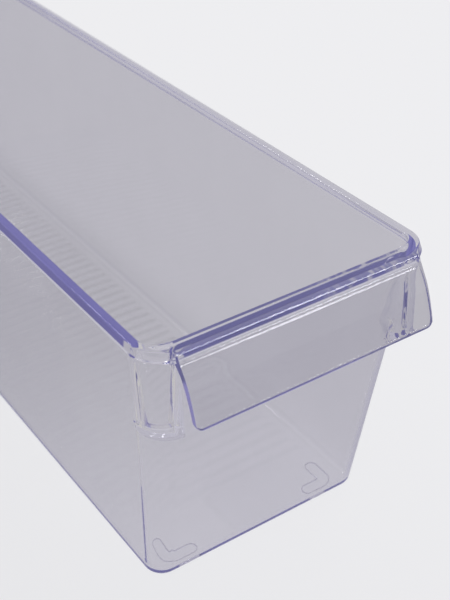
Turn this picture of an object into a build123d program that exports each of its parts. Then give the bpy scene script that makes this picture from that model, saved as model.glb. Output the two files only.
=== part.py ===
from build123d import *
import os

os.makedirs("parts", exist_ok=True)

# Long, narrow, clear refrigerator bin with a hanging finger pull across its
# front. Lengths are in millimetres, +Z is up, the front faces -Y and right is +X.
# The bin is modelled with its front bottom edge on Y = 0 and the floor's
# underside on Z = 0. On export it moves so that the origin is the bottom
# centre of the whole bin, on the plane that the feet rest on.

# ---- overall size ----
RIM_WIDTH = 100.0         # overall width, across the rim
OVERALL_LENGTH = 368.0    # pull front to back rim
RIM_TOP = 105.3           # top of the rim above the floor's underside
FOOT_HEIGHT = 0.8         # feet below the floor's underside

# ---- tapered tray ----
WALL = 2.0                # wall thickness
FLOOR = 2.0               # floor thickness
BASE_HALF = 41.4          # outer half width at the bottom
TOP_HALF = 48.4           # outer half width of the wall at the rim
FRONT_LEAN = 20.3         # how far the front wall leans forward at the rim
BACK_LEAN = 7.5           # how far the back wall leans back at the rim
BASE_RADIUS = 6.6         # outer corner radius at the bottom
TOP_RADIUS = 9.6          # outer corner radius at the rim
EDGE_RADIUS = 2.6         # outer rounding of the bottom edge
COVE_RADIUS = 1.4         # inner rounding where walls meet the floor
CAVITY_OVERRUN = 6.0      # how far the cavity runs on above the rim

# ---- rim bead ----
RIM_LIP = 3.4             # depth of the bead
RIM_SIDE = 3.6            # width of the bead
RIM_CORNER = 10.6         # outer corner radius
RIM_ROUND = 0.9           # rounding of the top and bottom outer edges

# ---- front pull ----
PULL_HALF = 41.64         # half width
PULL_FRONT = 31.5         # how far it stands in front of Y = 0
PULL_SEAM = 20.5          # where its flange leaves the rim
PULL_CORNER = 2.4         # radius of its two lower corners
PULL_OVERLAP = 0.01       # the gap cut for it starts this far below the rim

# ---- stacking shoulders ----
LEDGE_BOTTOM = 69.0       # start of the ledge
LEDGE_TOP = 73.0          # end of the ledge, shoulder upright above
LEDGE_RISE = 1.5          # inside ledge sits this much higher, to keep its wall thick
SHOULDER_SIDE = 38.4      # inner limit along the end walls, from the centreline
SHOULDER_DEPTH = 11.8     # reach along the side walls

# ---- division of the skin into nodes ----
SPLIT_X = 34.4            # end walls stop here, corner posts start
SPLIT_Y = 7.2             # side walls stop this far from the base's ends

# ---- floor ribs ----
RIB_HALF = 35.2           # half length
RIB_PITCH = 5.5
RIB_WIDTH = 3.2
RIB_HEIGHT = 0.35
RIB_START = 24.0          # least distance from a rib to either end of the base

# ---- feet ----
FOOT_WIDTH = 4.4          # width of an arm
FOOT_X = 32.4             # centreline of the arm beside the side wall
FOOT_Y = 6.9              # centreline of the arm beside the end wall
FOOT_ARM_Y = 15.4         # end centre of the arm beside the side wall
FOOT_ARM_X = 24.4         # end centre of the arm beside the end wall
FOOT_ELBOW = 2.1          # bend radius of the centreline
ELBOW_BLOCK = 10.0        # square that keeps one quarter of the elbow's disc

# ---- derived ----
RIM_BACK = OVERALL_LENGTH - PULL_FRONT
BASE_LENGTH = RIM_BACK - (RIM_WIDTH / 2 - TOP_HALF) - BACK_LEAN
RIM_FRONT = FRONT_LEAN - WALL + RIM_SIDE
RIM_UNDER = RIM_TOP - RIM_LIP
TO_FRAME = Pos(0, -(RIM_BACK - PULL_FRONT) / 2, FOOT_HEIGHT)

# Limits of the cutting blocks, all clear of the bin
CLEAR_X = 60.0            # to both sides
CLEAR_FRONT = -60.0
CLEAR_BACK = 400.0
CLEAR_BOTTOM = -5.0
CLEAR_TOP = 200.0

# Pull section as (Y, Z): outer face from the rim down, inner face back up
PULL_OUTER = [
    (-22.9, RIM_TOP), (-23.55, 104.85), (-23.95, 103.8), (-24.7, 102.6),
    (-26.1, 100.7), (-27.35, 98.6), (-28.35, 96.2), (-29.2, 93.8),
    (-29.95, 91.3), (-30.6, 88.9), (-31.2, 86.5), (-PULL_FRONT, 85.0),
]
PULL_INNER = [
    (-29.45, 84.9), (-28.75, 87.4), (-27.95, 90.0), (-27.1, 92.5), (-26.1, 94.9),
    (-25.0, 97.2), (-23.7, 99.3), (-22.3, 101.0), (-21.4, 101.6), (-PULL_SEAM, RIM_UNDER),
]


def box(x_range, y_range, z_range):
    """Block given by its limits."""
    ranges = (x_range, y_range, z_range)
    centre = [(low + high) / 2 for low, high in ranges]
    return Pos(*centre) * Box(*[high - low for low, high in ranges])


def extrude_both(face, half):
    """Extrude a YZ face the same distance to the right and to the left."""
    return extrude(face, half, dir=(1, 0, 0)) + extrude(face, half, dir=(-1, 0, 0))


def plan(z, inset=0.0, at=None):
    """Rounded plan outline of the tray at height z, placed at height `at` if given."""
    t = z / RIM_TOP
    half = BASE_HALF + (TOP_HALF - BASE_HALF) * t - inset
    front = -FRONT_LEAN * t + inset
    back = BASE_LENGTH + BACK_LEAN * t - inset
    radius = BASE_RADIUS + (TOP_RADIUS - BASE_RADIUS) * t - inset
    outline = RectangleRounded(2 * half, back - front, radius)
    return (Pos(0, (front + back) / 2, z if at is None else at) * outline).face()


def tapered_block(bottom, top, inset, edge_radius):
    """Tapered body with its bottom edge rounded."""
    block = loft([plan(bottom, inset), plan(top, inset)])
    return fillet(block.faces().sort_by(Axis.Z)[0].edges(), edge_radius)


def shoulders(inset, rise):
    """The four corners, which flare at a ledge and stand upright up to the rim."""
    low, high = LEDGE_BOTTOM + rise, LEDGE_TOP + rise
    ledge = loft([plan(low, inset), plan(RIM_TOP, inset, high)])
    column = extrude(plan(RIM_TOP, inset, high), RIM_TOP - high, dir=(0, 0, 1))
    whole = ledge + column
    side = SHOULDER_SIDE + inset
    front = -FRONT_LEAN + SHOULDER_DEPTH - inset
    back = BASE_LENGTH + BACK_LEAN - SHOULDER_DEPTH + inset
    return [whole & box(x_range, y_range, (0, CLEAR_TOP))
            for y_range in ((CLEAR_FRONT, front), (back, CLEAR_BACK))
            for x_range in ((-CLEAR_X, -side), (side, CLEAR_X))]


def make_rim():
    """Solid slab with the bead's outline; the cavity hollows it later."""
    outline = RectangleRounded(RIM_WIDTH, RIM_BACK + RIM_FRONT, RIM_CORNER)
    outline = Pos(0, (RIM_BACK - RIM_FRONT) / 2, RIM_UNDER) * outline
    rim = extrude(outline.face(), RIM_LIP, dir=(0, 0, 1))
    faces = rim.faces().sort_by(Axis.Z)
    return fillet(faces[-1].edges() + faces[0].edges(), RIM_ROUND)


def make_skin():
    """Floor, walls and rim in one piece, with a gap in the rim for the pull."""
    outer = tapered_block(0, RIM_TOP, 0.0, EDGE_RADIUS)
    inner = tapered_block(FLOOR, RIM_TOP + CAVITY_OVERRUN, WALL, COVE_RADIUS)
    for shoulder in shoulders(0.0, 0.0):
        outer = outer + shoulder
    for pocket in shoulders(WALL, LEDGE_RISE):
        inner = inner + pocket
    pull_gap = box((-PULL_HALF, PULL_HALF), (CLEAR_FRONT, -PULL_SEAM),
                   (RIM_UNDER - PULL_OVERLAP, CLEAR_TOP))
    return (outer + (make_rim() - pull_gap)) - inner


def split_skin(skin):
    """Cut the skin into floor, walls, rim lengths and corner posts."""
    side_start, side_end = SPLIT_Y, BASE_LENGTH - SPLIT_Y
    full_x, middle_x = (-CLEAR_X, CLEAR_X), (-SPLIT_X, SPLIT_X)
    left_half, right_half = (-CLEAR_X, 0), (0, CLEAR_X)
    left_end, right_end = (-CLEAR_X, -SPLIT_X), (SPLIT_X, CLEAR_X)
    full_y, side_y = (CLEAR_FRONT, CLEAR_BACK), (side_start, side_end)
    front_y, back_y = (CLEAR_FRONT, side_start), (side_end, CLEAR_BACK)
    floor_z, post_z = (CLEAR_BOTTOM, FLOOR), (FLOOR, CLEAR_TOP)
    wall_z, rim_z = (FLOOR, RIM_UNDER), (RIM_UNDER, CLEAR_TOP)
    # node: X, Y and Z limits of its block
    blocks = {
        "floor_panel": (full_x, full_y, floor_z),
        "front_wall": (middle_x, front_y, wall_z),
        "back_wall": (middle_x, back_y, wall_z),
        "left_wall": (left_half, side_y, wall_z),
        "right_wall": (right_half, side_y, wall_z),
        "rim_front": (middle_x, front_y, rim_z),
        "rim_back": (middle_x, back_y, rim_z),
        "rim_left": (left_half, side_y, rim_z),
        "rim_right": (right_half, side_y, rim_z),
        "corner_front_left": (left_end, front_y, post_z),
        "corner_front_right": (right_end, front_y, post_z),
        "corner_back_left": (left_end, back_y, post_z),
        "corner_back_right": (right_end, back_y, post_z),
    }
    return {name: skin & box(*limits) for name, limits in blocks.items()}


def make_pull():
    """Flange that leaves the rim, rolls over and hangs in front of the wall."""
    outer = [Vector(0, y, z) for y, z in PULL_OUTER]
    inner = [Vector(0, y, z) for y, z in PULL_INNER]
    seam_top = Vector(0, -PULL_SEAM, RIM_TOP)
    section = Face(Wire([
        Edge.make_line(inner[-1], seam_top),
        Edge.make_line(seam_top, outer[0]),
        Edge.make_spline(outer),
        Edge.make_line(outer[-1], inner[0]),
        Edge.make_spline(inner),
    ]))
    pull = extrude_both(section, PULL_HALF)
    # The short edges across the thickness at both ends of the lower edge
    low_limit = outer[-1].Z + 0.5
    low_corners = [edge for edge in pull.edges().filter_by(GeomType.LINE)
                   if abs(abs(edge.center().X) - PULL_HALF) < 0.01
                   and edge.center().Z < low_limit
                   and abs(edge.tangent_at(0.5).Y) > 0.9]
    return fillet(low_corners, PULL_CORNER)


def make_ribs():
    """Shallow arched ribs across the floor, centred along its length."""
    front, back = (0, -RIB_WIDTH / 2, FLOOR), (0, RIB_WIDTH / 2, FLOOR)
    section = Face(Wire([
        Edge.make_line(front, back),
        Edge.make_three_point_arc(back, (0, 0, FLOOR + RIB_HEIGHT), front),
    ]))
    rib = extrude_both(section, RIB_HALF)
    count = int((BASE_LENGTH - 2 * RIB_START) / RIB_PITCH) + 1
    first = (BASE_LENGTH - (count - 1) * RIB_PITCH) / 2
    return [Pos(0, first + i * RIB_PITCH, 0) * rib for i in range(count)]


def make_foot():
    """Bent pad under the front right corner of the floor."""
    half = FOOT_WIDTH / 2
    bend_x, bend_y = FOOT_X - FOOT_ELBOW, FOOT_Y + FOOT_ELBOW
    arm_side = (Pos(FOOT_X, (bend_y + FOOT_ARM_Y) / 2)
                * Rectangle(FOOT_WIDTH, FOOT_ARM_Y - bend_y))
    arm_end = (Pos((bend_x + FOOT_ARM_X) / 2, FOOT_Y)
               * Rectangle(bend_x - FOOT_ARM_X, FOOT_WIDTH))
    elbow = Pos(bend_x, bend_y) * Circle(FOOT_ELBOW + half)
    elbow = elbow & (Pos(bend_x + ELBOW_BLOCK / 2, bend_y - ELBOW_BLOCK / 2)
                     * Rectangle(ELBOW_BLOCK, ELBOW_BLOCK))
    pad = (arm_side + arm_end + elbow
           + Pos(FOOT_X, FOOT_ARM_Y) * Circle(half)
           + Pos(FOOT_ARM_X, FOOT_Y) * Circle(half))
    return extrude(Pos(0, 0, -FOOT_HEIGHT) * pad, FOOT_HEIGHT, dir=(0, 0, 1))


nodes = split_skin(make_skin())
nodes["front_pull"] = make_pull()
nodes["floor_ribs"] = make_ribs()

front_foot = make_foot()
back_foot = Pos(0, BASE_LENGTH, 0) * mirror(front_foot, Plane.XZ)
for end, foot in (("front", front_foot), ("back", back_foot)):
    nodes[f"foot_{end}_right"] = foot
    nodes[f"foot_{end}_left"] = mirror(foot, Plane.YZ)

# ---- write one file per node ----
for name, shape in nodes.items():
    pieces = shape if isinstance(shape, list) else [shape]
    solids = [TO_FRAME * solid for piece in pieces for solid in piece.solids()]
    body = solids[0] if len(solids) == 1 else Compound(children=solids)
    export_step(body, f"parts/{name}.step")
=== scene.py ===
# A clear plastic bin, open at the top: tapered walls, upright shoulders at the corners, a
# rolled rim, a pull hanging from the front rim, ribs on the floor and four elbow-shaped feet.
# The front faces -Y, X runs to the right and Z is up. Shapes are drawn in millimetres with
# x = 0 on the centre plane, y = 0 on the front wall's bottom edge and z = 0 on the floor's
# underside; they are moved into the frame, in metres, as the meshes are made.
import math
from collections import namedtuple
from functools import reduce

import bpy
import bmesh
import numpy as np
from mathutils import Matrix, Vector


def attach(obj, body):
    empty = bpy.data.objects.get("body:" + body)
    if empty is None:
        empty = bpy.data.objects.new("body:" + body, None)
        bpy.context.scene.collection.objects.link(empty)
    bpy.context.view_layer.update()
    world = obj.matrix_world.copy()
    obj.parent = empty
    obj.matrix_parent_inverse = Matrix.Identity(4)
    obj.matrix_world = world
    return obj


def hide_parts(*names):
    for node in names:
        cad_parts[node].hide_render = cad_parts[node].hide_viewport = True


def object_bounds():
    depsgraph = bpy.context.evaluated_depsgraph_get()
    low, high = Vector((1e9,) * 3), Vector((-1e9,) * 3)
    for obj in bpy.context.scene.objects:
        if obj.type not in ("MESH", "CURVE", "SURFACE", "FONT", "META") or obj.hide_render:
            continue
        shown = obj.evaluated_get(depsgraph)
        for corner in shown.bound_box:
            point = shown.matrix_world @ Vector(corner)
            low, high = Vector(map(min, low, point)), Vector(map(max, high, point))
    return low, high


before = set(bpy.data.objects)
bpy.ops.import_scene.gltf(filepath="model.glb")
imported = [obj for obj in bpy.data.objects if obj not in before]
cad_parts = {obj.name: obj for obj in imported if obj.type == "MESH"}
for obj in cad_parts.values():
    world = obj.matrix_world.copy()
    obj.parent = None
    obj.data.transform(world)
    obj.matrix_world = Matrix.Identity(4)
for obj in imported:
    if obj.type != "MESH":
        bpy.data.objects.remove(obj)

cad_lo, cad_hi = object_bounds()

# ---------------------------------------------------------------------------
# Driving dimensions (mm)
# ---------------------------------------------------------------------------
MM_PER_METRE = 1000.0
PULL_REACH = 31.5               # from the front wall's bottom edge forward to the pull
FOOT_DEPTH = 0.8
ORIGIN = ((cad_lo.x + cad_hi.x) / 2,
          cad_lo.y + PULL_REACH / MM_PER_METRE,
          cad_lo.z + FOOT_DEPTH / MM_PER_METRE)
LENGTH = (cad_hi.y - cad_lo.y) * MM_PER_METRE

WALL, FLOOR = 2.0, 2.0          # thicknesses
TOP = 105.3                     # top of the rim
UNDER = 101.9                   # underside of the rim
BASE_HALF, TOP_HALF = 41.4, 48.4            # half widths of the body
BASE_RADIUS, TOP_RADIUS = 6.6, 9.6          # its corner radii
LEAN = {"front": 20.3, "back": 7.5}         # how far each end wall leans out over its height
RIM_OVERHANG = 1.6
RIM_HALF = TOP_HALF + RIM_OVERHANG
RIM_RADIUS = 10.6
BASE_LENGTH = LENGTH - PULL_REACH - RIM_OVERHANG - LEAN["back"]
FILLET, COVE = 2.6, 1.4         # roll between floor and wall, outside and inside

END_HALF = 34.0                 # the straight end walls stop at this x
CORNER_DEPTH = 8.0              # the corner pieces stop this far in from the bottom edge
PLATE_HALF, PLATE_EDGE = 36.0, 3.9          # floor plate: half width, distance from the edge
SHOULDER_LOW, SHOULDER_HIGH = 72.5, 74.3    # the shoulder grows out of the wall between these
SHOULDER_RISE_INSIDE = 1.8                  # and this much higher on the inside

SEAM_Y = -20.5                  # where the front rim meets the pull
PULL_HALF = 41.64
RIB_HALF, RIB_HEIGHT = 35.2, 0.26

SIDES = {"left": -1, "right": 1}
ENDS = ("front", "back")
PLASTIC, SEAM = 0, 1            # material slots; a seam is where two members of the bin meet


def along_axis(axis, mm):
    """Frame coordinate of a drawing coordinate."""
    return ORIGIN["xyz".index(axis)] + mm / MM_PER_METRE


def to_frame(point):
    return tuple(along_axis(axis, mm) for axis, mm in zip("xyz", point))


def smooth(t):
    t = min(1.0, max(0.0, t))
    return t * t * (3 - 2 * t)


def lerp(a, b, t):
    return a + (b - a) * t


def sin_cos(degrees):
    return math.sin(math.radians(degrees)), math.cos(math.radians(degrees))


def round_off(reach, radius):
    """How far a rounded corner has fallen back, reach past the start of its arc."""
    if reach <= 0:
        return 0.0
    return radius - math.sqrt(max(radius ** 2 - reach ** 2, 0.0))


# ---------------------------------------------------------------------------
# Piece builder
# ---------------------------------------------------------------------------
def turn_outward(bm):
    """Turn over every closed shell whose faces look inwards."""
    seen = [False] * len(bm.faces)
    wrong = []
    for first in bm.faces:
        if seen[first.index]:
            continue
        seen[first.index] = True
        stack, shell = [first], []
        while stack:
            face = stack.pop()
            shell.append(face)
            for edge in face.edges:
                for neighbour in edge.link_faces:
                    if not seen[neighbour.index]:
                        seen[neighbour.index] = True
                        stack.append(neighbour)
        centre = sum((f.calc_center_median() for f in shell), Vector()) / len(shell)
        facing = sum((f.calc_center_median() - centre).dot(f.normal) * f.calc_area()
                     for f in shell)
        if facing < 0:
            wrong += shell
    if wrong:
        bmesh.ops.reverse_faces(bm, faces=wrong)


class Piece:
    """Faces drawn in mm. Points are merged by position, so that shared edges close."""

    STEPS_PER_MM = 5000         # points in the same step are one point

    def __init__(self, name, sharp_angle=32.0):
        self.name, self.sharp_angle = name, sharp_angle
        self.points, self.faces, self.index = [], [], {}

    def vertex(self, point):
        key = tuple(round(c * self.STEPS_PER_MM) for c in point)
        if key not in self.index:
            self.index[key] = len(self.points)
            self.points.append(to_frame(point))
        return self.index[key]

    def face(self, points, slot=PLASTIC):
        """Add a face, leaving out repeated points and faces that vanish."""
        corners = []
        for point in points:
            i = self.vertex(point)
            if not corners or corners[-1] != i:
                corners.append(i)
        while len(corners) > 1 and corners[0] == corners[-1]:
            corners.pop()
        if len(set(corners)) >= 3:
            self.faces.append((corners, slot))

    def grid(self, rows, slot=PLASTIC):
        for a, b in zip(rows[:-1], rows[1:]):
            for i in range(len(a) - 1):
                self.face([a[i], a[i + 1], b[i + 1], b[i]], slot)

    def build(self):
        name = "clear_" + self.name
        mesh = bpy.data.meshes.new(name)
        mesh.from_pydata(self.points, [], [corners for corners, _ in self.faces])
        mesh.update()
        mesh.polygons.foreach_set("material_index", [slot for _, slot in self.faces])
        bm = bmesh.new()
        bm.from_mesh(mesh)
        bmesh.ops.recalc_face_normals(bm, faces=bm.faces)
        bm.faces.index_update()
        turn_outward(bm)
        ngons = [f for f in bm.faces if len(f.verts) > 4]
        if ngons:
            bmesh.ops.triangulate(bm, faces=ngons)
        for f in bm.faces:
            f.smooth = f.material_index == PLASTIC
        bm.to_mesh(mesh)
        bm.free()
        mesh.set_sharp_from_angle(angle=math.radians(self.sharp_angle))
        ob = bpy.data.objects.new(name, mesh)
        bpy.context.scene.collection.objects.link(ob)
        # large flat faces keep their own direction, and only the rolls between them shade round
        even = ob.modifiers.new("even", "WEIGHTED_NORMAL")
        even.keep_sharp, even.weight = True, 50
        return ob


# ---------------------------------------------------------------------------
# Skin: floor margin, walls, shoulders and rim, drawn column by column.
# A point is (a, v, z): a is across from the centre plane, v is inwards from the end wall's
# bottom edge. A station (part, t) is a place round a corner: "end" and "side" are the
# straights with t from 0 to 1, "arc" is the corner with t in degrees from the end wall.
# ---------------------------------------------------------------------------
PULL_ANGLE = math.degrees(math.asin((PULL_HALF - (RIM_HALF - RIM_RADIUS)) / RIM_RADIUS))
PULL_STATION = ("arc", PULL_ANGLE)          # the pull ends here on the front corners

END_STATIONS = (0.0, 0.12, 0.22, 0.32, 0.42, 0.52, 0.62, 0.72, 0.82, 0.91)
ARC_STATIONS = (0, 3, 6, 9, PULL_ANGLE, 15, 18, 21, 25, 30, 35, 40, 45,
                50, 55, 60, 65, 70, 75, 80, 85, 90)
SIDE_STATIONS = (0.03, 0.045, 0.06, 0.075, 0.09, 0.105, 0.12, 0.135, 0.15, 0.165, 0.18,
                 0.21, 0.25, 0.3, 0.4, 0.5, 0.7, 1.0)
CORNER = ([("end", t) for t in END_STATIONS] + [("arc", t) for t in ARC_STATIONS]
          + [("side", t) for t in SIDE_STATIONS])

ROLL_ANGLES = (0.0, 18.0, 36.0, 54.0, 72.0, 90.0)       # round the roll at the floor
# heights of the wall's rows, close together through the shoulder
WALL_HEIGHTS = ([6, 12, 22, 34, 46, 56, 63, 68.0, 70.5] + [72.2 + 0.25 * k for k in range(19)]
                + [77.6, 80.0, 84, 90, 95, 99, UNDER])

INNER_ROUND = 0.5               # radius of the rim's inner top edge
BEAD_REACH = 1.5                # how far the front rim's bead stands in from the wall
# depth below the rim's top, share of the bead's reach
BEAD_STEPS = ((2.9, 0.06), (2.4, 0.35), (2.0, 0.68), (1.6, 0.9), (1.2, 1.0), (INNER_ROUND, 1.0))
LIP_WIDTH = 1.45
LIP_ROUND_TOP, LIP_ROUND_LOW = 0.55, 0.5
LIP_SLOPE = 0.75                # the lip's top edge is this much narrower than its bottom edge
SWEEP_REACH, SWEEP_ANGLE = 1.1, 26.0        # the lip's swelling beside the pull


def outline(station, half, edge, radius):
    """Point and outward direction of a station on a rounded rectangle."""
    part, t = station
    if part == "end":
        return (lerp(END_HALF, half - radius, t), edge), (0.0, -1.0)
    if part == "side":
        return (half, lerp(edge + radius, CORNER_DEPTH, t)), (1.0, 0.0)
    s, c = sin_cos(t)
    return (half - radius + radius * s, edge + radius - radius * c), (s, -c)


def body(z, end, inset):
    """Half width, end edge and corner radius of the tapered body at height z."""
    t = z / TOP
    return (BASE_HALF + (TOP_HALF - BASE_HALF) * t - inset, -LEAN[end] * t + inset,
            BASE_RADIUS + (TOP_RADIUS - BASE_RADIUS) * t - inset)


def end_share(top_a, inset):
    """How much of the shoulder stands at this place along the end wall."""
    return smooth((top_a - (37.4 + inset)) / 1.6)


def side_share(top_v, end, inset):
    """How much of the shoulder stands at this place along the side wall."""
    return smooth(((-LEAN[end] + 12.6 - inset) - top_v) / 1.8)


def skin_point(station, z, end, inset, shrink=0.0):
    """(a, v) on the tapered wall, with the upright shoulder blended in."""
    part, t = station
    half, edge, radius = body(z, end, inset)
    (a, v), _ = outline(station, half - shrink, edge + shrink, radius - shrink)
    rise = SHOULDER_RISE_INSIDE if inset else 0.0
    up = smooth((z - SHOULDER_LOW - rise) / (SHOULDER_HIGH - SHOULDER_LOW))
    if up == 0.0:
        return a, v
    # the shoulder stands upright under the body's outline at the top
    (top_a, top_v), _ = outline(station, *body(TOP, end, inset))
    if part == "end":
        return lerp(a, top_a, up), lerp(v, top_v, up * end_share(top_a, inset))
    if part == "side":
        fade = 1.0 - smooth((t - 0.4) / 0.5)
        return (lerp(a, top_a, up * side_share(top_v, end, inset)),
                lerp(v, top_v, up * fade))
    # on the arc, places outside the shoulder slide along the wall instead of leaving it
    share = min(end_share(top_a, inset), side_share(top_v, end, inset))
    new_a, new_v = lerp(a, top_a, up), lerp(v, top_v, up)
    if share < 1.0 and t < 45:
        wall_v = edge + round_off(new_a - (half - radius), radius)
        new_v = lerp(wall_v, top_v, up * share)
    elif share < 1.0:
        wall_a = half - round_off((edge + radius) - new_v, radius)
        new_a = lerp(wall_a, top_a, up * share)
    return new_a, new_v


def plate_point(station):
    """(a, v) on the edge of the floor plate, whose corners are cut off."""
    cut_a, cut_v = 34.8, 5.0
    part, t = station
    if part == "end":
        return lerp(END_HALF, cut_a, t), PLATE_EDGE
    if part == "side":
        return PLATE_HALF, lerp(cut_v, CORNER_DEPTH, t)
    if t <= 45:
        return lerp(cut_a, PLATE_HALF, t / 45), PLATE_EDGE
    return PLATE_HALF, lerp(PLATE_EDGE, cut_v, (t - 45) / 45)


def wall_rows(station, end, inset):
    """Points from the floor plate's edge up to the underside of the rim."""
    base_z = FLOOR if inset else 0.0
    roll = COVE if inset else FILLET
    rows = [(*plate_point(station), base_z)]
    for angle in ROLL_ANGLES:
        s, c = sin_cos(angle)
        z = base_z + roll * (1 - c)
        rows.append((*skin_point(station, z, end, inset, roll * (1 - s)), z))
    for z in WALL_HEIGHTS:
        rows.append((*skin_point(station, z, end, inset), z))
    return rows


def inner_bead(station, end):
    """How far the front rim's top reaches in past the wall. It dies out round the corners."""
    part, t = station
    if end != "front" or part == "side":
        return 0.0
    if part == "end":
        return BEAD_REACH
    return BEAD_REACH * (1.0 - smooth((t - 10.0) / 65.0))


def lip_sweep(station, end):
    """The rim's lip swells in a concave sweep into the pull's edge."""
    part, t = station
    if end != "front" or part != "arc" or t < PULL_ANGLE - 0.01:
        return 0.0
    return SWEEP_REACH * max(0.0, 1 - (t - PULL_ANGLE) / SWEEP_ANGLE) ** 2.2


def over_pull(station):
    part, t = station
    return part == "end" or (part == "arc" and t <= PULL_ANGLE + 1e-6)


def rim_parts(station, end):
    """Core: up the inside and over to the seam's top. Lip: round the outside to its bottom."""
    (a, v), (out_a, out_v) = outline(station, *body(TOP, end, WALL))
    bead = inner_bead(station, end)
    core = []
    for depth, share in BEAD_STEPS:
        wall_a, wall_v = skin_point(station, TOP - depth, end, WALL)
        core.append((wall_a - out_a * bead * share, wall_v - out_v * bead * share, TOP - depth))
    for angle in (22.5, 45.0, 67.5, 90.0):
        s, c = sin_cos(angle)
        shift = INNER_ROUND * (1 - c) - bead
        core.append((a + out_a * shift, v + out_v * shift, TOP - INNER_ROUND + INNER_ROUND * s))

    edge = -(LEAN[end] + RIM_OVERHANG)
    (a, v), (out_a, out_v) = outline(station, RIM_HALF, edge, RIM_RADIUS)
    (seam_a, seam_v), _ = outline(station, RIM_HALF - LIP_WIDTH, edge + LIP_WIDTH,
                                  RIM_RADIUS - LIP_WIDTH)
    if end == "front" and over_pull(station):
        seam_a, seam_v = a, SEAM_Y
    if end == "front" and station == PULL_STATION:
        # the lip faces straight forward where it meets the pull
        out_a, out_v = 0.0, -1.0
        a = seam_a = PULL_HALF
    sweep = lip_sweep(station, end)
    a, v = a + out_a * sweep, v + out_v * sweep
    core.append((seam_a, seam_v, TOP))
    lip = []
    for angle in (0.0, 22.5, 45.0, 67.5, 90.0):
        s, c = sin_cos(angle)
        shift = LIP_ROUND_TOP * (1 - s) + LIP_SLOPE
        lip.append((a - out_a * shift, v - out_v * shift, TOP - LIP_ROUND_TOP * (1 - c)))
    for angle in (0.0, 30.0, 60.0, 90.0):
        s, c = sin_cos(angle)
        shift = LIP_ROUND_LOW * (1 - c)
        lip.append((a - out_a * shift, v - out_v * shift, UNDER + LIP_ROUND_LOW * (1 - s)))
    lip.append((seam_a, seam_v, UNDER))
    return core, lip


def place(point, side, end):
    """Drawing coordinates of (a, v, z) at one side and end of the bin."""
    a, v, z = point
    return side * a, v if end == "front" else BASE_LENGTH - v, z


Column = namedtuple("Column", "inside outside core lip")


def column(station, end, put):
    """Wall and rim points of one station, each moved into place by put."""
    parts = (wall_rows(station, end, WALL), wall_rows(station, end, 0.0),
             *rim_parts(station, end))
    return Column(*([put(point) for point in part] for part in parts))


def rim_span(piece, p, q, at_pull):
    """Rim between two columns. Over the pull it stops at the seam."""
    piece.grid([[c.inside[-1]] + c.core for c in (p, q)])
    if at_pull:
        piece.face([p.core[-1], q.core[-1], q.lip[-1], p.lip[-1]], SEAM)
    else:
        piece.grid([[c.core[-1]] + c.lip for c in (p, q)])
    piece.face([p.lip[-1], q.lip[-1], q.outside[-1], p.outside[-1]])


def rim_cap(piece, col, at_pull):
    lip = col.lip[-1:] if at_pull else col.lip
    piece.face([col.inside[-1]] + col.core + lip + [col.outside[-1]], SEAM)


def corner_piece(name, side, end):
    piece = Piece(name)
    columns = [column(station, end, lambda p: place(p, side, end)) for station in CORNER]
    pull_spans = CORNER.index(PULL_STATION) if end == "front" else 0
    piece.grid([c.inside for c in columns])
    piece.grid([c.outside for c in columns])
    piece.grid([[c.inside[0], c.outside[0]] for c in columns], SEAM)
    for k in range(len(columns) - 1):
        rim_span(piece, columns[k], columns[k + 1], k < pull_spans)
    if pull_spans:
        col = columns[pull_spans]
        piece.face([col.core[-1]] + col.lip, SEAM)
    for col, at_pull in ((columns[0], end == "front"), (columns[-1], False)):
        piece.grid([col.inside, col.outside], SEAM)
        rim_cap(piece, col, at_pull)
    return piece


def straight_wall(name, columns):
    piece = Piece(name)
    piece.grid([c.inside for c in columns])
    piece.grid([c.outside for c in columns])
    for row in (0, -1):
        piece.grid([[c.inside[row], c.outside[row]] for c in columns], SEAM)
    for col in (columns[0], columns[-1]):
        piece.grid([col.inside, col.outside], SEAM)
    return piece


def straight_rim(name, columns, at_pull=False):
    piece = Piece(name)
    for p, q in zip(columns[:-1], columns[1:]):
        rim_span(piece, p, q, at_pull)
        piece.face([p.outside[-1], q.outside[-1], q.inside[-1], p.inside[-1]], SEAM)
    for col in (columns[0], columns[-1]):
        rim_cap(piece, col, at_pull)
    return piece


def end_columns(end):
    steps = 14
    xs = [lerp(-END_HALF, END_HALF, i / steps) for i in range(steps + 1)]
    return [column(("end", 0.0), end, lambda p: place((x, p[1], p[2]), 1, end)) for x in xs]


def side_columns(side):
    steps = 40
    ys = [lerp(CORNER_DEPTH, BASE_LENGTH - CORNER_DEPTH, i / steps) for i in range(steps + 1)]
    return [column(("side", 1.0), "front", lambda p: (side * p[0], y, p[2])) for y in ys]


# ---------------------------------------------------------------------------
# Front pull: a flap that hangs from the front rim
# ---------------------------------------------------------------------------
PULL_CORNER_RADIUS = 2.4        # its lower corners, seen from the front
PULL_EDGE_RADIUS = 0.45         # thinning at its side edges
PULL_TIP = 0.28                 # bulge of its free edge, as a share of its thickness there
OUTER_STEPS, INNER_STEPS = 34, 30
# distances in from the side edge where sections stand close together
PULL_EDGE_STEPS = (0.0, 0.02, 0.07, 0.16, 0.28, 0.45, 0.8, 1.2, 1.6, 2.0, 2.4, 3.4, 5.0)

Curve = namedtuple("Curve", "points share length")


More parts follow.
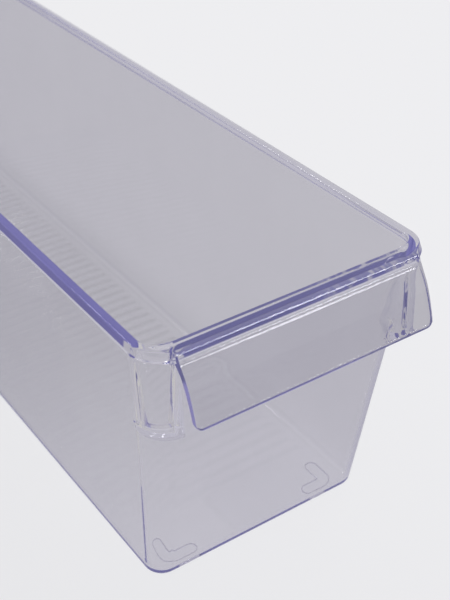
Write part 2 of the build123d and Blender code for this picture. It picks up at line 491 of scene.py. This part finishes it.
def spline(points):
    """Catmull-Rom curve through points, with each fine point's share of the length."""
    p = np.array(points, float)
    p = np.vstack([2 * p[0] - p[1], p, 2 * p[-1] - p[-2]])
    fine = []
    for p0, p1, p2, p3 in zip(p[:-3], p[1:-2], p[2:-1], p[3:]):
        for t in np.linspace(0, 1, 24, endpoint=False):
            fine.append(0.5 * ((2 * p1) + (-p0 + p2) * t
                               + (2 * p0 - 5 * p1 + 4 * p2 - p3) * t * t
                               + (-p0 + 3 * p1 - 3 * p2 + p3) * t ** 3))
    fine.append(p[-2])
    fine = np.array(fine)
    travelled = np.concatenate([[0], np.cumsum(np.linalg.norm(np.diff(fine, axis=0), axis=1))])
    return Curve(fine, travelled / travelled[-1], travelled[-1])


def curve_at(curve, t):
    return np.array([np.interp(t, curve.share, curve.points[:, i]) for i in (0, 1)])


# (y, z) down the outer face of the pull, from the rim's top to the free edge
PULL_OUTER = spline([
    (-22.9, 105.3), (-23.45, 105.0), (-23.85, 104.2), (-24.25, 103.3), (-25.1, 102.0),
    (-26.1, 100.6), (-27.35, 98.5), (-28.35, 96.2), (-29.2, 93.8), (-29.95, 91.3),
    (-30.6, 88.9), (-31.15, 86.5), (-31.47, 84.8)])
# (y, z) down its inner face, from the rim's underside
PULL_INNER = spline([
    (-20.5, 101.9), (-21.4, 101.6), (-22.4, 100.9), (-23.7, 99.3), (-25.0, 97.1),
    (-26.1, 94.8), (-27.1, 92.3), (-27.95, 89.8), (-28.75, 87.2), (-29.4, 84.8)])


def pull_face_point(curve, t, shift):
    """(y, z) on a face of the pull, shifted towards the wall except near the rim."""
    direction = curve_at(curve, min(t + 0.01, 1)) - curve_at(curve, max(t - 0.01, 0))
    normal = np.array([-direction[1], direction[0]]) / np.linalg.norm(direction)
    if normal[0] < 0:
        normal = -normal
    return curve_at(curve, t) + normal * shift * smooth((t - 0.12) / 0.2)


def pull_section(x):
    """Ring of points at x: rim top, down the outer face, free edge, up the inner face."""
    lift = round_off(abs(x) - (PULL_HALF - PULL_CORNER_RADIUS), PULL_CORNER_RADIUS)
    thin = round_off(abs(x) - (PULL_HALF - PULL_EDGE_RADIUS), PULL_EDGE_RADIUS)
    outer_end, inner_end = 1 - lift / PULL_OUTER.length, 1 - lift / PULL_INNER.length
    outer = [pull_face_point(PULL_OUTER, outer_end * (j / OUTER_STEPS) ** 1.25, thin)
             for j in range(OUTER_STEPS + 1)]
    inner = [pull_face_point(PULL_INNER, inner_end * (1 - (j / INNER_STEPS)) ** 1.2, -thin)
             for j in range(INNER_STEPS + 1)]
    front, rear = outer[-1], inner[0]
    down = curve_at(PULL_OUTER, outer_end) - curve_at(PULL_OUTER, outer_end - 0.03)
    down = down / np.linalg.norm(down)
    thickness = np.linalg.norm(front - rear)
    tip = []
    for angle in (30, 60, 90, 120, 150):
        s, c = sin_cos(angle)
        tip.append((front + rear) / 2 + (front - rear) / 2 * c + down * PULL_TIP * thickness * s)
    lip_top_y = rim_parts(PULL_STATION, "front")[1][0][1]
    return ([(x, SEAM_Y, TOP), (x, lip_top_y, TOP)]
            + [(x, y, z) for y, z in outer + tip + inner])


def front_pull():
    piece = Piece("front_pull")
    xs = ([-PULL_HALF + step for step in PULL_EDGE_STEPS]
          + list(np.linspace(-PULL_HALF + 7, PULL_HALF - 7, 26))
          + [PULL_HALF - step for step in reversed(PULL_EDGE_STEPS)])
    sections = [pull_section(float(x)) for x in xs]
    for p, q in zip(sections[:-1], sections[1:]):
        piece.grid([p, q])
        piece.face([p[-1], q[-1], q[0], p[0]], SEAM)
    core, lip = rim_parts(PULL_STATION, "front")
    for section, side in ((sections[0], -1), (sections[-1], 1)):
        seam_top, *placed_lip = [place(p, side, "front") for p in core[-1:] + lip]
        piece.face([seam_top] + placed_lip, SEAM)
        # the rest of the end face is open to the air
        piece.face([section[1]] + placed_lip[1:] + section[-2:1:-1])
    return piece


# ---------------------------------------------------------------------------
# Feet: bent bars, one at each corner of the underside
# ---------------------------------------------------------------------------
FOOT_HALF = 2.2                 # half the bar's width
FOOT_ELBOW = 2.5                # radius of its centre line at the elbow
FOOT_LINE_A, FOOT_LINE_V = 32.4, 6.9        # centre lines beside the side and the end wall
FOOT_TIP_A, FOOT_TIP_V = 24.4, 15.4         # centres of the round ends
# inset of the outline, z
FOOT_PROFILE = ((0.0, 0.0), (0.0, -0.32), (0.05, -0.5), (0.16, -0.65), (0.32, -0.76),
                (0.52, -FOOT_DEPTH))


def foot_outline(inset, z, side, end):
    half = FOOT_HALF - inset
    centre_a, centre_v = FOOT_LINE_A - FOOT_ELBOW, FOOT_LINE_V + FOOT_ELBOW
    half_turn = [sin_cos(180 * k / 12) for k in range(13)]
    outer_turn = [sin_cos(90 * k / 12) for k in range(13)]
    inner_turn = [sin_cos(90 * k / 8) for k in range(9)]
    wide, narrow = FOOT_ELBOW + half, FOOT_ELBOW - half
    points = [(FOOT_LINE_A - half * c, FOOT_TIP_V + half * s) for s, c in half_turn]
    points += [(centre_a + wide * c, centre_v - wide * s) for s, c in outer_turn]
    points += [(FOOT_TIP_A - half * s, FOOT_LINE_V - half * c) for s, c in half_turn]
    points += [(centre_a + narrow * s, centre_v - narrow * c) for s, c in inner_turn]
    return [place((a, v, z), side, end) for a, v in points]


def foot(name, side, end):
    piece = Piece(name)
    rings = [foot_outline(inset, z, side, end) for inset, z in FOOT_PROFILE]
    piece.grid([ring + ring[:1] for ring in rings])
    piece.face(rings[0], SEAM)
    piece.face(rings[-1])
    return piece


# ---------------------------------------------------------------------------
# Floor plate and ribs. The ribs run across the bin.
# ---------------------------------------------------------------------------
RIB_PITCH, RIB_WIDTH = 5.5, 4.6
RIB_FADE = 2.4                  # length over which a rib's end rises
RIB_STEPS = 10                  # across one rib
RIB_MARGIN = 48.0               # least length of floor free of rib centres, both ends together
rib_count = int((BASE_LENGTH - RIB_MARGIN) / RIB_PITCH) + 1
rib_start = (BASE_LENGTH - (rib_count - 1) * RIB_PITCH) / 2
RIB_YS = [rib_start + i * RIB_PITCH for i in range(rib_count)]
RIB_XS = ([-RIB_HALF + step for step in (0.0, 0.25, 0.7, 1.4, RIB_FADE)]
          + list(np.linspace(-30, 30, 9))
          + [RIB_HALF - step for step in (RIB_FADE, 1.4, 0.7, 0.25, 0.0)])


def rib_row(x, rib_y):
    """Points across one rib: a cosine hump, lower towards the rib's ends."""
    rise = min(1.0, (RIB_HALF - abs(x)) / RIB_FADE)
    rise = math.sqrt(max(0.0, 1 - (1 - rise) ** 2))
    row = []
    for k in range(RIB_STEPS + 1):
        s = -1 + 2 * k / RIB_STEPS
        hump = 0.5 + 0.5 * math.cos(math.pi * s)
        row.append((x, rib_y + s * RIB_WIDTH / 2, FLOOR + RIB_HEIGHT * rise * hump))
    return row


def floor_ribs():
    piece = Piece("floor_ribs", sharp_angle=60.0)
    for rib_y in RIB_YS:
        rows = [rib_row(x, rib_y) for x in RIB_XS]
        piece.grid(rows)
        # flat side in the plane of the floor's top; the outermost rows keep all their points
        flat = [[(x, y, FLOOR) for x, y, _ in row] for row in rows]
        flat[1:-1] = [[row[0], row[-1]] for row in flat[1:-1]]
        for a, b in zip(flat[:-1], flat[1:]):
            piece.face(a + b[::-1], SEAM)
    return piece


def floor_panel():
    piece = Piece("floor_panel")
    front, back = PLATE_EDGE, BASE_LENGTH - PLATE_EDGE
    # top, in strips that mark out the ribs' footprints
    ys = [front]
    for rib_y in RIB_YS:
        ys += [rib_y - RIB_WIDTH / 2, rib_y + RIB_WIDTH / 2]
    ys.append(back)
    for i, (a, b) in enumerate(zip(ys[:-1], ys[1:])):
        middle = SEAM if i % 2 == 1 else PLASTIC
        for x0, x1, slot in ((-PLATE_HALF, -RIB_HALF, PLASTIC), (-RIB_HALF, RIB_HALF, middle),
                             (RIB_HALF, PLATE_HALF, PLASTIC)):
            piece.face([(x0, a, FLOOR), (x1, a, FLOOR), (x1, b, FLOOR), (x0, b, FLOOR)], slot)
    for x in (-PLATE_HALF, PLATE_HALF):
        piece.face([(x, y, FLOOR) for y in ys] + [(x, back, 0), (x, front, 0)], SEAM)
    for y in (front, back):
        piece.face([(x, y, FLOOR) for x in (-PLATE_HALF, -RIB_HALF, RIB_HALF, PLATE_HALF)]
                   + [(PLATE_HALF, y, 0), (-PLATE_HALF, y, 0)], SEAM)
    # underside: a flat sheet with the four feet's footprints left open, then closed by seams
    footprints = [foot_outline(0.0, 0.0, side, end) for side in SIDES.values() for end in ENDS]
    sheet = [(-PLATE_HALF, front, 0), (PLATE_HALF, front, 0), (PLATE_HALF, back, 0),
             (-PLATE_HALF, back, 0)]
    bm = bmesh.new()
    edges, drawn = [], {}
    for loop in [sheet] + footprints:
        verts = [bm.verts.new(p) for p in loop]
        drawn.update(zip(verts, loop))
        edges += [bm.edges.new(pair) for pair in zip(verts, verts[1:] + verts[:1])]
    bmesh.ops.triangle_fill(bm, use_beauty=True, use_dissolve=False, edges=edges,
                            normal=(0, 0, 1))
    for f in bm.faces:
        piece.face([drawn[v] for v in f.verts])
    bm.free()
    for footprint in footprints:
        piece.face(footprint, SEAM)
    return piece


def all_pieces():
    parts = []
    for name, side in SIDES.items():
        parts += [corner_piece(f"corner_{end}_{name}", side, end) for end in ENDS]
        columns = side_columns(side)
        parts += [straight_wall(f"{name}_wall", columns), straight_rim(f"rim_{name}", columns)]
    for end in ENDS:
        columns = end_columns(end)
        parts += [straight_wall(f"{end}_wall", columns),
                  straight_rim(f"rim_{end}", columns, at_pull=end == "front")]
    parts.append(front_pull())
    for name, side in SIDES.items():
        parts += [foot(f"foot_{end}_{name}", side, end) for end in ENDS]
    return parts + [floor_panel(), floor_ribs()]


pieces = {part.name: part.build() for part in all_pieces()}


# ---------------------------------------------------------------------------
# Shader helpers
# ---------------------------------------------------------------------------
class Shader:
    """Adds nodes to a tree. Inputs take a number, a colour of three values or an output."""

    def __init__(self, tree):
        self.tree = tree

    def feed(self, socket, value):
        if isinstance(value, bpy.types.NodeSocket):
            self.tree.links.new(value, socket)
        elif socket.type == "RGBA":
            socket.default_value = (*value, 1)
        else:
            socket.default_value = value

    def node(self, kind, inputs=None, **settings):
        """Add a node and return its outputs. inputs is keyed by socket name or number."""
        node = self.tree.nodes.new("ShaderNode" + kind)
        for name, value in settings.items():
            setattr(node, name, value)
        for key, value in (inputs or {}).items():
            self.feed(node.inputs[key], value)
        return node.outputs

    def math(self, operation, *values):
        return self.node("Math", dict(enumerate(values)), operation=operation)[0]

    def product(self, *values):
        return reduce(lambda a, b: self.math("MULTIPLY", a, b), values)

    def largest(self, *values):
        return reduce(lambda a, b: self.math("MAXIMUM", a, b), values)

    def above(self, value, limit):
        return self.math("GREATER_THAN", value, limit)

    def below(self, value, limit):
        return self.math("LESS_THAN", value, limit)

    def rest(self, value):
        return self.math("SUBTRACT", 1.0, value)

    def ramp(self, value, start, stop, low=0.0, high=1.0, kind="SMOOTHSTEP"):
        return self.node("MapRange", {"Value": value, "From Min": start, "From Max": stop,
                                      "To Min": low, "To Max": high},
                         interpolation_type=kind)["Result"]

    def mix(self, factor, a, b, blend_type="MIX"):
        return self.node("Mix", {"Factor": factor, "A": a, "B": b},
                         data_type="RGBA", blend_type=blend_type)["Result"]

    def mix_shader(self, factor, a, b):
        return self.node("MixShader", {0: factor, 1: a, 2: b})[0]

    def noise(self, vector, scale, detail, roughness):
        return self.node("TexNoise", {"Vector": vector, "Scale": scale, "Detail": detail,
                                      "Roughness": roughness})["Fac"]

    def split(self, vector):
        return self.node("SeparateXYZ", {0: vector})

    def surface(self, shader):
        self.node("OutputMaterial", {"Surface": shader})


def new_material(name):
    """An empty node material and its tree."""
    material = bpy.data.materials.new(name)
    material.use_nodes = True
    material.node_tree.nodes.clear()
    return material, material.node_tree


# ---------------------------------------------------------------------------
# Clear plastic
# ---------------------------------------------------------------------------
GLASS_IOR = 1.53
KEEP = (0.9904, 0.98995, 0.9968)            # light left after one millimetre, by channel
FACE_TINT = (0.972, 0.970, 0.976)
SHADOW_TINT = (0.93, 0.93, 0.95)
# painted shade that darkens the feet's short upright sides into outlines
FOOT_SIDE_PAINTED_SHADE = (0.70, 0.69, 0.78)
# painted shade on the ribs: how much it darkens a rib, and how much of it is lost behind other
# plastic
RIB_PAINTED_SHADE = 0.10                              # how much a rib darkens
RIB_VEIL = 0.72                             # how much of that is lost behind other plastic
# painted shade on the pull
PULL_PAINTED_SHADE = 0.085
GRAIN = 0.22                                # height of the front roll's grain against the wave
# painted glow: emission colours that stand in for light caught between the two faces of a wall
# and leaving an edge
PAINTED_GLOW = (0.182, 0.170, 0.425)
PAINTED_GLOW_LOW_VIEW = tuple(0.80 * c for c in PAINTED_GLOW)
PAINTED_GLOW_FRONT = (0.112, 0.108, 0.285)
PAINTED_GLOW_FLAP = (0.26, 0.24, 0.53)
# pale colours of the painted glow, where it is drawn pale instead of violet
PALE_PAINTED_GLOW = (0.505, 0.495, 0.525)
PALE_PAINTED_GLOW_SHOULDER = (0.63, 0.62, 0.56)
STREAK_PALE, BRIGHT_SIDE_PALE = 0.6, 0.85   # how far streaks and the right rim turn pale


class ClearPlastic(Shader):
    """Glass that tints light along its path, with a painted violet glow (an emission) where
    light would be caught.
    """

    def __init__(self, tree):
        super().__init__(tree)
        self.path = self.node("LightPath")
        geometry = self.node("NewGeometry")
        self.back_face = geometry["Backfacing"]
        self.coords = self.node("TexCoord")["Object"]
        self.body_place = self.split(geometry["Position"])
        self.depth_place = self.split(geometry["Position"])
        self.glow_place = self.split(geometry["Position"])
        self.view_z = self.split(geometry["Incoming"])["Z"]
        # seen through other plastic, and seen mirrored
        self.veiled = self.above(self.path["Transmission Depth"], limit=0.5)
        self.mirrored = self.above(self.path["Glossy Depth"], limit=0.5)
        self.shallow = self.below(self.view_z, limit=0.66)
        self.later = self.past_first_wall()

    def zone(self, soft=0.6, **limits):
        """1 inside a box given in drawing millimetres, with soft edges."""
        shares = []
        for limit, mm in limits.items():
            axis, way = limit.split("_")
            half = (soft if way == "over" else -soft) / MM_PER_METRE
            middle = along_axis(axis, mm)
            shares.append(self.ramp(self.glow_place[axis.upper()], middle - half,
                                    middle + half))
        return self.product(*shares)

    def past_first_wall(self):
        """1 where light is not in the wall it first entered, but in a later one."""
        right_front = self.product(
            self.above(self.depth_place["X"], limit=ORIGIN[0]),
            self.below(self.depth_place["Y"], limit=along_axis("y", -4.0)))
        # the right front corner allows two more passes
        passes = self.math("ADD", 1.5, self.product(2.0, right_front))
        return self.above(self.path["Transmission Depth"], passes)

    def path_colour(self):
        """Colour left after the light's path through the plastic."""
        mm = self.product(self.path["Ray Length"], MM_PER_METRE)
        channels = [self.math("POWER", keep, mm) for keep in KEEP]
        return self.node("CombineColor", dict(enumerate(channels)))["Color"]

    def painted_rib_shade(self):
        """Painted shade: the ribs read as soft darker bars, clearer towards the right."""
        x, z = self.body_place["X"], self.body_place["Z"]
        crest = self.ramp(z, start=along_axis("z", FLOOR + 0.03),
                          stop=along_axis("z", FLOOR + RIB_HEIGHT), kind="LINEAR")
        from_middle = self.math("ABSOLUTE", self.math("SUBTRACT", x, ORIGIN[0]))
        on_rib = self.below(from_middle, limit=RIB_HALF / MM_PER_METRE)
        near_floor = self.below(z, limit=along_axis("z", 2.7))
        rightward = self.ramp(x, start=along_axis("x", -30.0), stop=along_axis("x", 20.0),
                              low=0.25)
        return self.product(crest, on_rib, near_floor, rightward, self.rest(self.mirrored),
                            self.rest(self.product(self.veiled, RIB_VEIL)))

    def entry_colour(self):
        """A light, slightly uneven tint, with painted shade on the ribs and on the pull."""
        uneven = self.ramp(self.noise(self.coords, scale=38.0, detail=3.0, roughness=0.55),
                           start=0.3, stop=0.7, low=0.985, high=1.0, kind="LINEAR")
        tint = self.mix(1.0, FACE_TINT, uneven, "MULTIPLY")
        on_pull = self.below(self.body_place["Y"], limit=along_axis("y", -24.5))
        # painted shade darkens the ribs and the pull
        painted_shade = self.product(self.rest(self.product(self.painted_rib_shade(), RIB_PAINTED_SHADE)),
                           self.rest(self.product(on_pull, PULL_PAINTED_SHADE)))
        return self.mix(1.0, tint, painted_shade, "MULTIPLY")

    def bump(self):
        """Slow waviness everywhere; a fine grain breaks up the front roll's highlight."""
        wave = self.noise(self.coords, scale=22.0, detail=1.0, roughness=0.4)
        grain = self.noise(self.coords, scale=620.0, detail=2.0, roughness=0.6)
        front_roll = self.product(
            self.below(self.body_place["Y"], limit=along_axis("y", -21.2)),
            self.above(self.body_place["Z"], limit=along_axis("z", 102.8)))
        height = self.math("ADD", wave, self.product(grain, GRAIN, front_roll))
        return self.node("Bump", {"Strength": 0.25, "Distance": 0.0004,
                                  "Height": height})["Normal"]

    def glass(self):
        colour = self.mix(self.back_face, self.entry_colour(), self.path_colour())
        # painted shade: the short upright sides of the feet are darkened, so they read as soft
        # outlines
        foot_sides = self.zone(soft=0.08, z_under=-0.10, z_over=-0.68)
        colour = self.mix(foot_sides, colour, FOOT_SIDE_PAINTED_SHADE, "MULTIPLY")
        return self.node("BsdfGlass", {"Color": colour, "Roughness": 0.0, "IOR": GLASS_IOR,
                                       "Normal": self.bump()})[0]

    def passes_straight(self):
        """Shadow and diffuse rays aren't bent, and the walls don't mirror the ribs."""
        plain_floor = self.product(
            self.mirrored, self.rest(self.veiled),
            self.below(self.body_place["Z"], limit=along_axis("z", 3.0)))
        return self.largest(self.path["Is Shadow Ray"], self.path["Is Diffuse Ray"],
                            plain_floor)

    def caught(self):
        """1 where the painted violet glow takes the place of the glass, where light would be
        caught inside the plastic.
        """
        trapped = self.product(self.above(self.path["Glossy Depth"], limit=2.5),
                               self.back_face)
        # painted glow on the thick root of the pull, seen from high up
        root = self.product(self.zone(y_over=-25.6, y_under=-19.0, z_over=98.6, z_under=102.2),
                            self.back_face, self.above(self.view_z, limit=0.64))
        # painted glow all along the inner edge of the front rim's bead
        bead = self.zone(soft=0.05, y_over=-17.12, y_under=-15.0, z_over=102.3,
                         x_over=-39.0, x_under=39.0)
        return self.largest(trapped, root, self.product(bead, self.back_face))

    def streaks(self):
        """Painted streaks: along the right half of the front the painted violet glow breaks up
        into paler streaks.
        """
        stretched = self.node("Mapping", {"Vector": self.coords,
                                          "Scale": (1.0, 0.12, 0.12)})["Vector"]
        broken = self.ramp(self.noise(stretched, scale=330.0, detail=3.0, roughness=0.6),
                           start=0.44, stop=0.62)
        right_half = self.ramp(self.glow_place["X"], start=along_axis("x", 2.0),
                               stop=along_axis("x", 22.0))
        return self.product(broken, right_half, self.zone(y_under=-13.0, z_over=93.0),
                            STREAK_PALE)

    def pale_share(self):
        """Where the painted glow is pale instead of violet."""
        left_shoulder = self.zone(x_under=-35.5, y_under=-2.5, y_over=-23.6,
                                  z_over=60.0, z_under=98.0)
        below_shoulder = self.zone(x_under=-28.0, y_under=-2.5, y_over=-23.6,
                                   z_over=60.0, z_under=78.0)
        left_wall = self.largest(
            self.zone(x_under=-10.0, y_under=45.0, z_over=40.0, z_under=87.0),
            self.zone(x_under=-10.0, y_under=25.0, z_over=80.0, z_under=94.5))
        # the pull's free side edge keeps its violet
        pull_edge = self.zone(y_under=-23.6, z_under=99.0, x_under=15.0)
        left_wall = self.product(left_wall, self.rest(pull_edge), self.shallow)
        pull_bottom = self.zone(y_under=-26.5, z_under=80.0, x_over=-36.0)
        # painted light: the right rim lies on the bright side, so its painted glow turns pale
        right_rim = self.product(self.zone(x_over=46.9, y_over=-6.0, z_over=90.0),
                                 BRIGHT_SIDE_PALE)
        return self.largest(left_shoulder, below_shoulder, left_wall, pull_bottom,
                            self.streaks(), self.later, right_rim)

    def violet(self):
        """Colour of the painted glow: deeper at the front than at the sides, and lighter on the
        pull.
        """
        colour = self.mix(self.shallow, PAINTED_GLOW, PAINTED_GLOW_LOW_VIEW)
        colour = self.mix(self.zone(y_under=-12.0), colour, PAINTED_GLOW_FRONT)
        on_pull = self.zone(y_under=-23.6, z_under=97.0, x_under=20.0)
        return self.mix(on_pull, colour, PAINTED_GLOW_FLAP)

    def pale(self):
        """Pale colour of the painted glow, where a longer way through the plastic is made up
        for, so that these lines stay faint.
        """
        high_later = self.product(self.later, self.zone(z_over=15.0))
        left_shoulder = self.zone(x_under=-35.5, y_under=-2.5, y_over=-23.6,
                                  z_over=60.0, z_under=88.0)
        left_wall = self.product(
            self.zone(x_under=-15.0, y_under=45.0, y_over=-23.6, z_over=55.0, z_under=90.0),
            self.below(self.view_z, limit=0.55))
        return self.mix(self.largest(high_later, left_shoulder, left_wall), PALE_PAINTED_GLOW, PALE_PAINTED_GLOW_SHOULDER)

    def glow(self):
        # painted glow: an emission that stands in for caught light, its strength a little uneven
        # at random
        colour = self.mix(self.pale_share(), self.violet(), self.pale())
        level = self.ramp(self.noise(self.coords, scale=55.0, detail=2.0, roughness=0.5),
                          start=0.3, stop=0.7, low=0.93, high=1.07, kind="LINEAR")
        return self.node("Emission", {"Color": colour, "Strength": level})[0]

    def finish(self):
        through = self.node("BsdfTransparent", {"Color": SHADOW_TINT})[0]
        plastic = self.mix_shader(self.passes_straight(), self.glass(), through)
        # where light would be caught, the painted glow takes the place of the glass
        self.surface(self.mix_shader(self.caught(), plastic, self.glow()))


def clear_material():
    material, tree = new_material("clear_plastic")
    ClearPlastic(tree).finish()
    return material


def seam_material():
    """Light passes a seam without any effect."""
    material, tree = new_material("moulding_seam")
    shader = Shader(tree)
    shader.surface(shader.node("BsdfTransparent", {"Color": (1, 1, 1)})[0])
    return material


clear = clear_material()
seam = seam_material()

for name, ob in pieces.items():
    ob.data.materials.append(clear)
    ob.data.materials.append(seam)
    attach(ob, "root")
    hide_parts(name)

# ---------------------------------------------------------------------------
# Studio floor. Places here and below are in frame metres unless marked otherwise.
# ---------------------------------------------------------------------------
FLOOR_HALF, FLOOR_Z = 6, -0.0002
# painted light and shade on the floor under the bin, as the plastic sees it
UNDER_FRONT_PAINTED_LIGHT, UNDER_BACK_PAINTED_SHADE = 1.13, 0.825       # brightness under the bin, front and back
GATHERED = (0.491, 0.482, 0.521)            # the floor's light as the plastic gathers it
SEEN = (0.757, 0.757, 0.774)                # and as the camera sees it
FLOOR_MATT = (0.06, 0.06, 0.06)


def studio_floor_material():
    material, tree = new_material("studio_floor")
    shader = Shader(tree)
    position = shader.split(shader.node("NewGeometry")["Position"])

    def scaled(colour, strength):
        return shader.node("VectorMath", {0: colour, "Scale": strength}, operation="SCALE")[0]

    # painted light and shade: under the bin the floor is a little brighter at the front than
    # further back
    under = shader.ramp(position["Y"], start=cad_lo.y - 0.01, stop=cad_lo.y + 0.20,
                        low=UNDER_FRONT_PAINTED_LIGHT, high=UNDER_BACK_PAINTED_SHADE)
    beside = shader.ramp(position["X"], start=0.036, stop=0.060)
    level = shader.node("Mix", {"Factor": beside, "A": under, "B": 1.0})["Result"]
    # painted shade: the floor as the camera sees it is a little darker to the left than to the
    # right
    across = shader.ramp(position["X"], start=-0.25, stop=0.20, low=0.966, high=1.056)
    colour = shader.mix(shader.node("LightPath")["Is Camera Ray"],
                        scaled(GATHERED, level), scaled(SEEN, across))
    glow = shader.node("Emission", {"Color": colour})[0]
    matt = shader.node("BsdfDiffuse", {"Color": FLOOR_MATT})[0]
    shader.surface(shader.node("AddShader", {0: glow, 1: matt})[0])
    return material


def studio_floor():
    mesh = bpy.data.meshes.new("studio_floor")
    corners = ((-1, -1), (1, -1), (1, 1), (-1, 1))
    mesh.from_pydata([(x * FLOOR_HALF, y * FLOOR_HALF, FLOOR_Z) for x, y in corners], [],
                     [(0, 1, 2, 3)])
    ob = bpy.data.objects.new("studio_floor", mesh)
    bpy.context.scene.collection.objects.link(ob)
    mesh.materials.append(studio_floor_material())


# ---------------------------------------------------------------------------
# World and lights
# ---------------------------------------------------------------------------
WORLD_BENT = (0.60, 0.59, 0.635)            # for rays bent by the plastic
WORLD_PLAIN = (0.84, 0.84, 0.857)           # for the camera and for mirrored rays
LIGHT_TARGET = (0.0, 50.0)                  # x and y the lights point at, drawing mm
LIGHT_TARGET_Z = 0.1
LIGHT_DISTANCE = 1.7
# name, direction from the target, size, watts
SOFTBOXES = (("softbox_over", (0.446, 0.10, 0.88), 0.42, 9.0),
             ("softbox_front", (0.504, -0.42, 0.76), 0.55, 13.0),
             ("softbox_behind", (-0.12, 0.70, 0.70), 0.24, 1.3))


def studio_world():
    world = bpy.data.worlds.new("studio")
    bpy.context.scene.world = world
    world.use_nodes = True
    shader = Shader(world.node_tree)
    path = shader.node("LightPath")
    mirrored = shader.product(path["Is Glossy Ray"], shader.rest(path["Is Transmission Ray"]))
    plain = shader.largest(path["Is Camera Ray"], mirrored)
    background = world.node_tree.nodes["Background"].inputs
    shader.feed(background["Color"], shader.mix(plain, WORLD_BENT, WORLD_PLAIN))
    background["Strength"].default_value = 1.0


def softbox(name, direction, size, watts):
    """Square light that gives the rolled edges their white lines."""
    data = bpy.data.lights.new(name, "AREA")
    data.shape, data.size = "SQUARE", size
    data.energy = watts
    # rays that have been through several walls don't find the soft box again
    data.use_nodes = True
    shader = Shader(data.node_tree)
    emission = next(n for n in data.node_tree.nodes if n.type == "EMISSION")
    depth = shader.node("LightPath")["Transmission Depth"]
    shader.feed(emission.inputs["Strength"], shader.below(depth, limit=2.5))
    lamp = bpy.data.objects.new(name, data)
    lamp.visible_diffuse = name != "softbox_front"
    lamp.visible_transmission = name == "softbox_front"
    bpy.context.scene.collection.objects.link(lamp)
    target_x, target_y = LIGHT_TARGET
    target = Vector((along_axis("x", target_x), along_axis("y", target_y), LIGHT_TARGET_Z))
    lamp.location = target + Vector(direction).normalized() * LIGHT_DISTANCE
    lamp.rotation_euler = (target - lamp.location).to_track_quat("-Z", "Y").to_euler()


# ---------------------------------------------------------------------------
# Camera and render settings
# ---------------------------------------------------------------------------
CAMERA_PLACE = (-164.4, -236.51, 287.24)    # drawing mm
CAMERA_RIGHT = (0.8285, -0.5593, -0.0282)
CAMERA_FORWARD = (0.4513, 0.6965, -0.5578)
FOCUS_PLACE = (-20.0, 0.0, 85.0)            # drawing mm
LENS, SENSOR_WIDTH, F_STOP = 70.69, 36.0, 30.0


def camera():
    data = bpy.data.cameras.new("camera")
    ob = bpy.data.objects.new("camera", data)
    bpy.context.scene.collection.objects.link(ob)
    data.lens, data.sensor_width = LENS, SENSOR_WIDTH
    data.clip_start, data.clip_end = 0.01, 50
    forward = Vector(CAMERA_FORWARD).normalized()
    up = Vector(CAMERA_RIGHT).normalized().cross(forward).normalized()
    right = forward.cross(up).normalized()
    location = Vector(to_frame(CAMERA_PLACE))
    rows = [(right[i], up[i], -forward[i], location[i]) for i in range(3)]
    ob.matrix_world = Matrix((*rows, (0, 0, 0, 1)))
    bpy.context.scene.camera = ob
    focus = bpy.data.objects.new("focus", None)
    bpy.context.scene.collection.objects.link(focus)
    focus.location = Vector(to_frame(FOCUS_PLACE))
    data.dof.use_dof = True
    data.dof.focus_object = focus
    data.dof.aperture_fstop = F_STOP


def render_settings():
    scene = bpy.context.scene
    scene.view_settings.view_transform = "Standard"
    scene.view_settings.look = "None"
    # light bounces many times between the faces of the clear walls
    scene.cycles.max_bounces = 48
    scene.cycles.transmission_bounces = 48
    scene.cycles.glossy_bounces = 24
    scene.cycles.diffuse_bounces = 3
    scene.cycles.transparent_max_bounces = 80


studio_floor()
studio_world()
for box in SOFTBOXES:
    softbox(*box)
camera()
render_settings()
